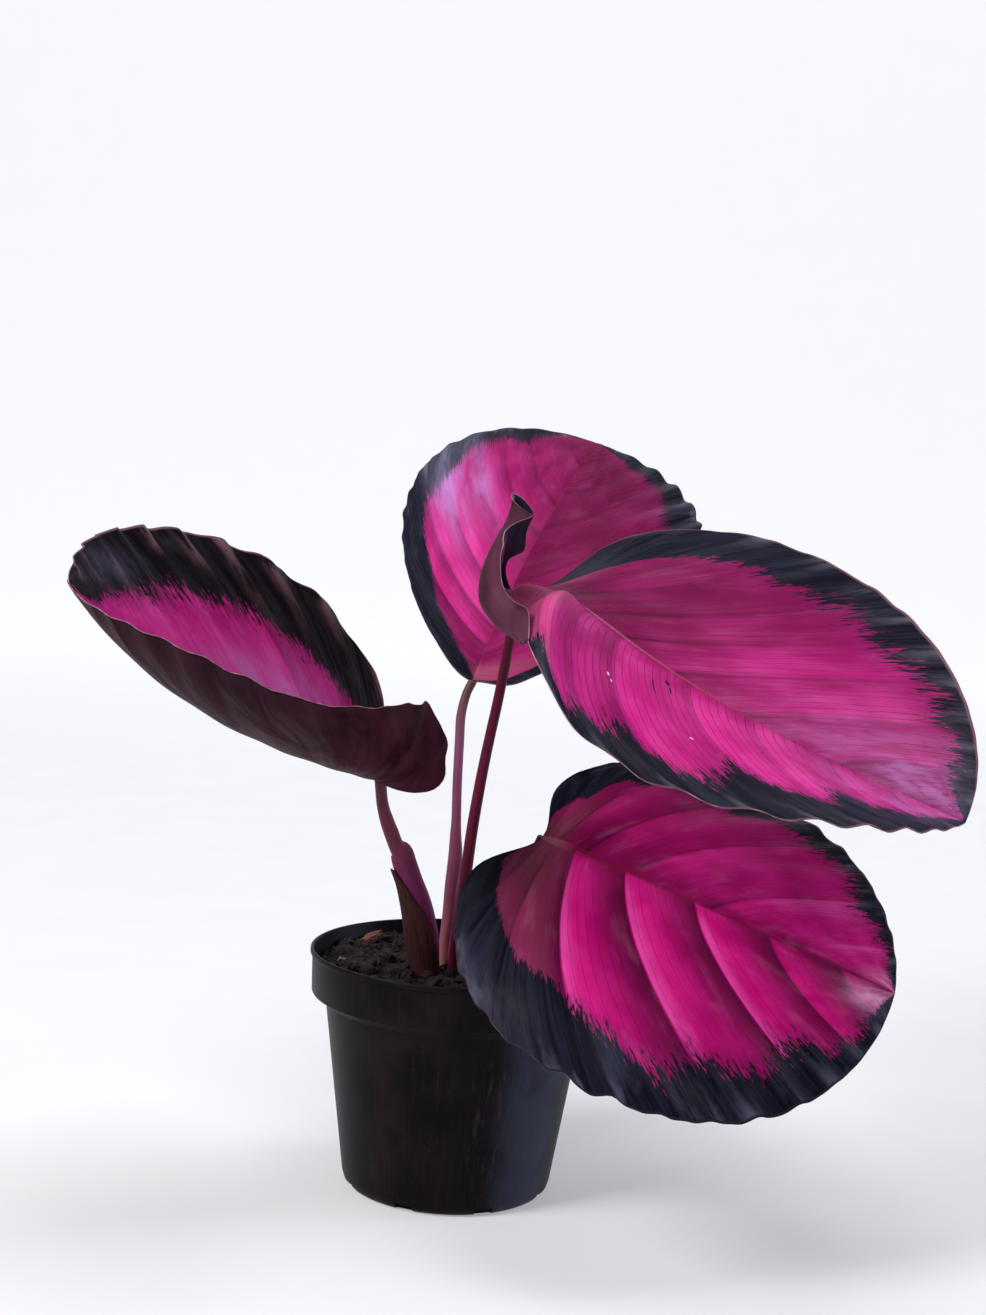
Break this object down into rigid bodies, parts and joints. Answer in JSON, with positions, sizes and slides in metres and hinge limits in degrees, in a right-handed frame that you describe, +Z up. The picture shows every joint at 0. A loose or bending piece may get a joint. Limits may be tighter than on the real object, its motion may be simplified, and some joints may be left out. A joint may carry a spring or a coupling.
{
  "type": "potted plant",
  "caption": "Potted calathea with broad pleated crimson leaf blades, dark-edged, on slim stalks in a round plastic nursery pot filled with soil.",
  "frame": {"origin": "middle of the pot's underside, on the surface that it stands on", "axes": "+Z up, +X to the right and +Y to the back as seen in the picture; the left blade points to -X, the top blade to +Y, the right and front blades to +X and -Y"},
  "size_m": [0.2785, 0.2552, 0.2744],
  "materials": {
    "pot_plastic": "satin black",
    "soil": "crumbly, damp, brown-black",
    "bark": "raw bark",
    "leaf_blade": "satin leaf skin",
    "leaf_stalk": "satin stalk skin",
    "bract": "dry brown sheath"
  },
  "bodies": {
    "root": {"pot": "pot_plastic", "soil": "soil", "bark_chip_large": "bark", "bark_chip_small": "bark", "blade_left": "leaf_blade", "blade_top": "leaf_blade", "blade_right": "leaf_blade", "blade_front": "leaf_blade", "stalk_left": "leaf_stalk", "stalk_top": "leaf_stalk", "stalk_right": "leaf_stalk", "stalk_front": "leaf_stalk", "bract_left": "bract"}
  },
  "joints": []
}
